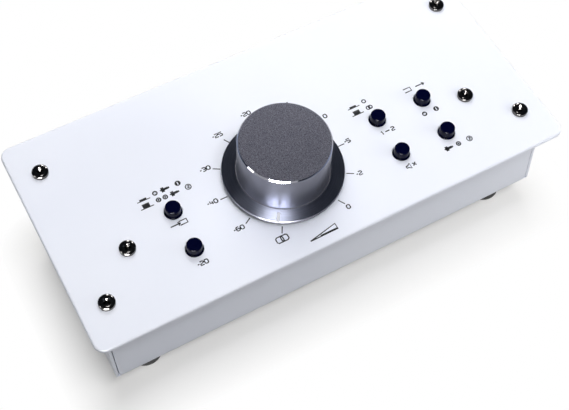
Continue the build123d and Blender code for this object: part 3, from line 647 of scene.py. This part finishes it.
# the upward part of a face's normal, when it lies flat and when it stands upright
flat_normal = 0.9
upright_normal = 0.3
for face in knob.data.polygons:
    x, y, height = face.center
    out = hypot(x, y)
    beside = abs(y) < pointer_width / 2 + hair / 2
    in_slot = x > pointer_inner - hair / 2 and beside and out < skirt_radius - margin
    if height > knob_top - hair:
        face.material_index = top_face
    elif height > knob_top - knob_edge - hair and out > barrel_top_radius - knob_edge:
        face.material_index = edge_face
    elif in_slot and height < pointer_floor + hair and face.normal.z > flat_normal:
        face.material_index = paint_face
    elif in_slot and abs(face.normal.z) < upright_normal and height > rim_bottom + 2 * margin:
        face.material_index = inner_face
    elif out < barrel_top_radius - margin or face.normal.z < -flat_normal:
        face.material_index = inner_face
    elif height > barrel_foot or (out > skirt_radius - rim_reach and abs(face.normal.z) < flat_normal):
        face.material_index = barrel_face
    elif out < skirt_inner_radius + hair:
        face.material_index = inner_face
knob.data.transform(Matrix.Rotation(radians(pointer_turn), 4, "Z"))
smooth(knob, 25)
seat(knob, knob_frame)
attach(knob, "knob")
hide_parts("level_knob")

# ---- Printed scale and signs --------------------------------------------------------------------
# Screen printed in black ink on the coat: eleven ticks round the knob with plain figures, the in
# and out signs of the latching buttons, and a sign or figure at each button.
ink_line = 0.54
ink_height = 0.02
thin = 0.8
figure_height = 1.7
figure_width = 1.4
figure_pitch = 1.82
minus_pitch = 1.15
minus_ends = (0.05, 0.75)
# figures in a box of 1 by 1, their corners cut off
lo = 0.22
hi = 1 - lo
strokes = {
    "0": [[(lo, 0), (hi, 0), (1, lo), (1, hi), (hi, 1), (lo, 1), (0, hi), (0, lo), (lo, 0)]],
    "1": [[(0.2, 0.75), (0.5, 1), (0.5, 0)]],
    "2": [[(0, 1), (hi, 1), (1, hi), (1, 0.62), (0, 0.3), (0, 0), (1, 0)]],
    "3": [
        [(0, 1), (hi, 1), (1, hi), (1, 0.6), (0.85, 0.5), (0.3, 0.5)],
        [(0.85, 0.5), (1, 0.4), (1, lo), (hi, 0), (0, 0)],
    ],
    "4": [[(0.1, 1), (0.1, 0.4), (1, 0.4)], [(0.75, 0.8), (0.75, 0)]],
    "5": [[(1, 1), (0, 1), (0, 0.56), (hi, 0.56), (1, 0.56 - lo), (1, lo), (hi, 0), (0, 0)]],
    "6": [
        [(0.9, 1), (lo, 1), (0, hi), (0, lo), (lo, 0), (hi, 0), (1, lo), (1, 0.4), (0.85, 0.54), (0, 0.54)],
    ],
}
ink_curve = bpy.data.curves.new("ink", "CURVE")
ink_curve.dimensions = "3D"
ink_curve.bevel_depth = ink_line / 2
ink_curve.bevel_resolution = 1
ink_curve.use_fill_caps = True


def stroke(points, weight=1.0):
    """One inked line through points on the plate, in mm."""
    spline = ink_curve.splines.new("POLY")
    spline.points.add(len(points) - 1)
    for point, (x, y) in zip(spline.points, points):
        point.co = (x, y, 0, 1)
        point.radius = weight


def ring(x, y, radius, weight=1.0, turns=24):
    """An inked circle."""
    angles = [2 * pi * step / turns for step in range(turns + 1)]
    stroke([(x + radius * cos(a), y + radius * sin(a)) for a in angles], weight)


def figures(text, x, y, height=figure_height, weight=1.0):
    """A number, centred on a point."""
    scale = height / figure_height
    pitches = [minus_pitch if sign == "-" else figure_pitch for sign in text]
    left = x - (sum(pitches) - (figure_pitch - figure_width)) * scale / 2
    bottom = y - height / 2
    for sign, pitch in zip(text, pitches):
        if sign == "-":
            stroke([(left + end * scale, y) for end in minus_ends], weight)
        for line in strokes.get(sign, ()):
            stroke([(left + u * figure_width * scale, bottom + v * height) for u, v in line], weight)
        left += pitch * scale


# the scale: a tick every 30 degrees, full up at the right
scale_x = -8.1
scale_y = -12.0
tick_ends = (25.2, 28.3)
tick_weight = 0.85
tick_count = 11
first_tick = 240
tick_turn = 30
for step in range(tick_count):
    angle = radians(first_tick - tick_turn * step)
    stroke([(scale_x + r * cos(angle), scale_y + r * sin(angle)) for r in tick_ends], tick_weight)
for text, x, y in (
    ("-60", -36.0, -26.8),
    ("-40", -39.7, -11.6),
    ("-30", -35.4, 3.5),
    ("-25", -23.7, 15.6),
    ("-20", -8.6, 19.6),
    ("-15", 7.6, 15.9),
    ("-10", 18.6, 3.5),
    ("-5", 21.9, -11.4),
    ("-2", 18.3, -27.0),
    ("0", 6.6, -38.2),
):
    figures(text, x, y)
# off: two eight-sided loops that overlap
loop_x = -23.3
loop_y = -38.6
loop_half_width = 1.45
loop_half_height = 1.3
loop_step = 1.05
loop_bend = 0.4
for middle in (loop_x - loop_step, loop_x + loop_step):
    corners = [(1, 1 - loop_bend), (1 - loop_bend, 1), (loop_bend - 1, 1), (-1, 1 - loop_bend)]
    corners += [(-u, -v) for u, v in corners] + corners[:1]
    stroke([(middle + u * loop_half_width, loop_y + v * loop_half_height) for u, v in corners])

# in and out signs: a button seen from the side, pressed and standing
pressed = 0.95
standing = 2.1
plate_line = 5.5
button_ends = (1.1, 4.1)
for left, in_line, out_line in ((-65.8, 1.65, -1.95), (30.1, 1.6, -2.1)):
    for line, block in ((in_line, pressed), (out_line, standing)):
        stroke([(left, line), (left + plate_line, line)], thin)
        stroke([(left + end, line + block / 2) for end in button_ends], block / ink_line)
socket_radius = 0.85
pin_circle = 0.38
pin_half = 0.1
phono_pin_radius = 0.25
badge_radius = 1.15
badge_figure = 1.0
filled_radius = 0.95
filled_side = 0.45
filled_half_height = 0.6


def socket_sign(x, y):
    """A three-pin socket."""
    ring(x, y, socket_radius)
    for angle in (45, 135, 270):
        pin_x = x + cos(radians(angle)) * pin_circle
        pin_y = y + sin(radians(angle)) * pin_circle
        stroke([(pin_x - pin_half, pin_y), (pin_x + pin_half, pin_y)], thin)


def plug_sign(x, y):
    """A jack plug, lying: cable, grip, shaft and tip."""
    for start, end, weight in ((-2.0, -1.5, 1.0), (-1.5, -0.2, 4.2), (-0.2, 1.5, 2.0), (1.55, 2.0, 1.6)):
        stroke([(x + start, y), (x + end, y)], weight)


def phono_sign(x, y):
    """A phono socket."""
    ring(x, y, socket_radius)
    ring(x, y, phono_pin_radius, thin, 12)


def badge(text, x, y):
    """A small figure in a circle."""
    ring(x, y, badge_radius, thin)
    figures(text, x + 0.1, y, badge_figure, thin)


def solid_badge(x, y):
    """A filled circle in which a figure 1 is left blank."""
    ring(x, y, filled_radius)
    for side in (x - filled_side, x + filled_side):
        stroke([(side, y - filled_half_height), (side, y + filled_half_height)])


# input: socket or jack on 1, phono or small jack on 2
upper_line = 2.6
lower_line = -0.8
socket_sign(-57.8, upper_line)
plug_sign(-53.6, upper_line)
solid_badge(-47.9, upper_line)
phono_sign(-57.8, lower_line)
phono_sign(-54.9, lower_line)
plug_sign(-50.9, lower_line)
badge("2", -44.9, lower_line)
# output: 1 or 2
first_output_line = -14.75
second_output_line = -33.7
socket_sign(57.5, first_output_line)
solid_badge(63.2, first_output_line)
plug_sign(57.0, second_output_line)
phono_sign(61.8, second_output_line)
badge("2", 67.2, second_output_line)
# one channel or both, beside the select button
channel_radius = 0.8
for x, y in ((38.2, 2.5), (38.2, -1.2), (39.2, -1.2)):
    ring(x, y, channel_radius)
# into a box, and out of one: where the arrow starts, and the middle of the box
box_half_width = 1.6
box_half_height = 0.9
arrow_length = 4.2
arrow_head = (1.0, 0.75)
for start, x, y in ((-59.0, -53.6, -14.1), (61.6, 57.6, -1.1)):
    corners = [(-1, 1), (1, 1), (1, -1), (-1, -1)]
    stroke([(x + u * box_half_width, y + v * box_half_height) for u, v in corners])
    tip = start + arrow_length
    stroke([(start, y), (tip, y)])
    stroke([(tip - arrow_head[0], y + arrow_head[1]), (tip, y), (tip - arrow_head[0], y - arrow_head[1])])
# dimmed by 20
figures("-20", -54.9, -33.5)
# sources 1 and 2
figures("1", 36.9, -14.8)
figures("2", 41.8, -14.8)
stroke([(38.2, -14.8), (40.2, -14.8)])
# a crossed loudspeaker
horn = [(37.5, -33.1), (38.6, -32.3), (38.6, -34.8), (37.5, -34.0)]
stroke([(36.7, -33.1), *horn, (36.7, -34.0), (36.7, -33.1)])
stroke([(39.7, -32.8), (41.1, -34.2)])
stroke([(39.7, -34.2), (41.1, -32.8)])
# level: a rising wedge, filled along its foot
wedge_left = -14.2
wedge_right = -2.0
wedge_foot = -44.7
wedge_top = -42.2
wedge_tip = (wedge_left, wedge_foot)
stroke([wedge_tip, (wedge_right, wedge_foot), (wedge_right, wedge_top), wedge_tip])
stroke([(wedge_left + 4.7, wedge_foot + 0.3), (wedge_right - 0.2, wedge_foot + 0.3)], 1.2)

ink = bpy.data.objects.new("printed_scale", ink_curve)
bpy.context.scene.collection.objects.link(ink)
bpy.ops.object.select_all(action="DESELECT")
ink.select_set(True)
bpy.context.view_layer.objects.active = ink
bpy.ops.object.convert(target="MESH")
for corner in ink.data.vertices:
    corner.co.z = ink_height if corner.co.z > ink_height / 2 else 0.0
seat(ink, plate_frame)
# Two-part screen ink: black, a little glossier than the coat, thin enough to look flat.
screen_ink = grained("black_screen_ink", "08090D", "101116", 0.3, (0.3, 0.42), 0.004, {"IOR": 1.5})
ink.data.materials.append(screen_ink)
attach(ink, "case")

# ---- Camera, floor and lights -------------------------------------------------------------------
# A three-quarter view from the front left on a white table.  Three soft lamps light what is dull,
# and six more show only as reflections in what shines.
picture_width = 569
focal_pixels = 1036.7
sensor_width = 36.0
camera_spot = plate_frame @ (Vector((-124.61, -198.06, 351.81)) * mm)
camera_right = Vector((0.87426, -0.48422, 0.03466))
camera_down = Vector((-0.40422, -0.76565, -0.50039))
camera_ahead = Vector((0.26884, 0.42346, -0.86511))
turn = Matrix((camera_right, -camera_down, -camera_ahead)).transposed().to_4x4()
bpy.ops.object.camera_add()
camera = bpy.context.object
camera.data.sensor_width = sensor_width
camera.data.lens = sensor_width * focal_pixels / picture_width
camera.data.clip_start = 0.01
camera.matrix_world = Matrix.Translation(camera_spot) @ plate_turn @ turn
bpy.context.scene.camera = camera

floor_size = 6.0
floor = added(bpy.ops.mesh.primitive_plane_add, size=floor_size)
floor.name = "floor"
# White paper table: shadows show near the object and fade to the white background.  What the paper
# throws back on the object is greyer than what the camera sees, so undersides stay dark.
floor_paper = blank("floor_paper")
tree = floor_paper.node_tree
footprint = (100 * mm, 42 * mm, 0)
fade_reach = 21 * mm
least_white = 0.25
place = put(tree, "ShaderNodeTexCoord").outputs["Object"]
size = put(tree, "ShaderNodeVectorMath", {"operation": "ABSOLUTE"}, {0: place})
past = put(tree, "ShaderNodeVectorMath", {"operation": "SUBTRACT", 1: footprint}, {0: size})
past = put(tree, "ShaderNodeVectorMath", {"operation": "MAXIMUM"}, {0: past})
away = put(tree, "ShaderNodeVectorMath", {"operation": "LENGTH"}, {0: past}).outputs["Value"]
fade = put(tree, "ShaderNodeMapRange", {2: fade_reach, 3: least_white}, {0: away})
rays = put(tree, "ShaderNodeLightPath").outputs
either = {"operation": "MAXIMUM"}
seen = put(tree, "ShaderNodeMath", either, {0: rays["Is Camera Ray"], 1: rays["Is Glossy Ray"]})
seen = put(tree, "ShaderNodeMath", either, {0: seen, 1: rays["Is Transmission Ray"]})
share = put(tree, "ShaderNodeMath", {"operation": "MULTIPLY"}, {0: fade, 1: seen})
papers = {"data_type": "RGBA", 6: linear("A0A09E"), 7: linear("F7F6F4")}
tint = put(tree, "ShaderNodeMix", papers, {"Factor": rays["Is Camera Ray"]}).outputs[2]
paper = put(tree, "ShaderNodeBsdfDiffuse", links={"Color": tint})
white = put(tree, "ShaderNodeEmission", {"Color": linear("FFFFFF"), "Strength": 1.0})
mixed = put(tree, "ShaderNodeMixShader", links={0: share, 1: paper, 2: white})
put(tree, "ShaderNodeOutputMaterial", links={"Surface": mixed})
floor.data.materials.append(floor_paper)


def softbox(name, azimuth, elevation, distance, width, height, power):
    """A rectangular lamp that looks at the object from a direction given in degrees."""
    a, e = radians(azimuth), radians(elevation)
    way = Vector((cos(a) * cos(e), sin(a) * cos(e), sin(e)))
    data = bpy.data.lights.new(name, "AREA")
    data.shape = "RECTANGLE"
    data.size = width
    data.size_y = height
    data.energy = power
    lamp = bpy.data.objects.new(name, data)
    bpy.context.scene.collection.objects.link(lamp)
    aim = way.to_track_quat("Z", "Y").to_matrix().to_4x4()
    lamp.matrix_world = Matrix.Translation(plate_centre + way * distance) @ aim
    return lamp


# a fill isn't mirrored, and a glint or band lights nothing that is dull
softbox("overhead_glint", 238, 86, 1.2, 0.18, 0.2, 1.2).visible_diffuse = False
softbox("back_fill", 70, 60, 0.5, 0.4, 0.4, 1.8).visible_glossy = False
softbox("front_fill", 285, 62, 1.4, 1.0, 0.3, 8.5).visible_glossy = False
softbox("right_fill", 320, 12, 0.35, 0.2, 0.1, 0.32).visible_glossy = False
softbox("front_glint", 235, 26, 1.1, 0.66, 0.35, 56).visible_diffuse = False
softbox("front_band", 225, 26, 1.1, 1.8, 0.35, 1.2).visible_diffuse = False
softbox("left_glint", 176, 26, 1.1, 0.25, 0.3, 1.6).visible_diffuse = False
softbox("back_glint_left", 71, 30, 1.1, 0.12, 0.3, 4.0).visible_diffuse = False
softbox("back_glint_right", 45, 30, 1.1, 0.12, 0.3, 4.0).visible_diffuse = False
# The world: white behind the object, an even weak fill for what is dull, and for what shines a dim
# room that is palest at its horizon.
world = bpy.data.worlds.new("studio")
bpy.context.scene.world = world
world.use_nodes = True
world.node_tree.nodes.clear()
tree = world.node_tree
fill_strength = 0.16
horizon_glow = 0.9
ceiling_glow = 0.04
heading = put(tree, "ShaderNodeTexCoord").outputs["Generated"]
parts = put(tree, "ShaderNodeSeparateXYZ", links={"Vector": heading}).outputs
glow = {"interpolation_type": "SMOOTHSTEP", 1: -0.02, 2: 0.4, 3: horizon_glow, 4: ceiling_glow}
dimming = put(tree, "ShaderNodeMapRange", glow, {0: parts["Z"]})
rays = put(tree, "ShaderNodeLightPath").outputs
room = put(tree, "ShaderNodeBackground", {"Color": linear("D4E3FF")}, {"Strength": dimming})
fill = put(tree, "ShaderNodeBackground", {"Color": linear("FFFFFF"), "Strength": fill_strength})
backdrop = put(tree, "ShaderNodeBackground", {"Color": linear("FFFFFF"), "Strength": 1.0})
mixed = put(tree, "ShaderNodeMixShader", links={0: rays["Is Glossy Ray"], 1: fill, 2: room})
mixed = put(tree, "ShaderNodeMixShader", links={0: rays["Is Camera Ray"], 1: mixed, 2: backdrop})
put(tree, "ShaderNodeOutputWorld", links={"Surface": mixed})
bpy.context.scene.view_settings.view_transform = "Standard"
